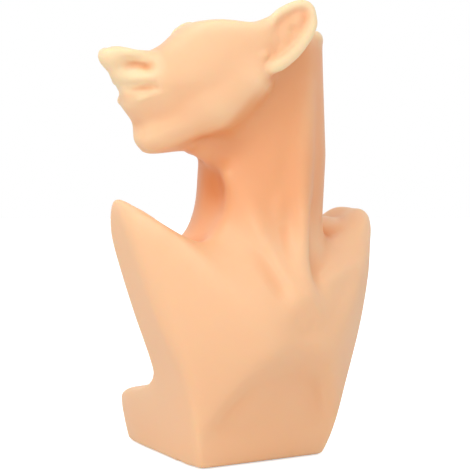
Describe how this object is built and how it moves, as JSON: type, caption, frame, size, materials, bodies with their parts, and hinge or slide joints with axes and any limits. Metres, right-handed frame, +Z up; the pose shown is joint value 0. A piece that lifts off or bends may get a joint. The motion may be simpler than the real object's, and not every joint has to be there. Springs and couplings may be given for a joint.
{
  "type": "necklace stand",
  "caption": "One-piece moulded display bust with turned half face, ears, long neck and pointed shoulders, standing on a rear heel, for showing necklaces and earrings.",
  "frame": {"origin": "middle of the flat base, on the surface the stand rests on", "axes": "+Z up; the chest looks along -Y and the heel reaches back along +Y; +X towards the bust's own left shoulder, the face is turned to -X"},
  "size_m": [0.2114, 0.1843, 0.3013],
  "materials": {
    "skin_plastic": "satin"
  },
  "bodies": {
    "root": {"bust": "skin_plastic"}
  },
  "joints": []
}
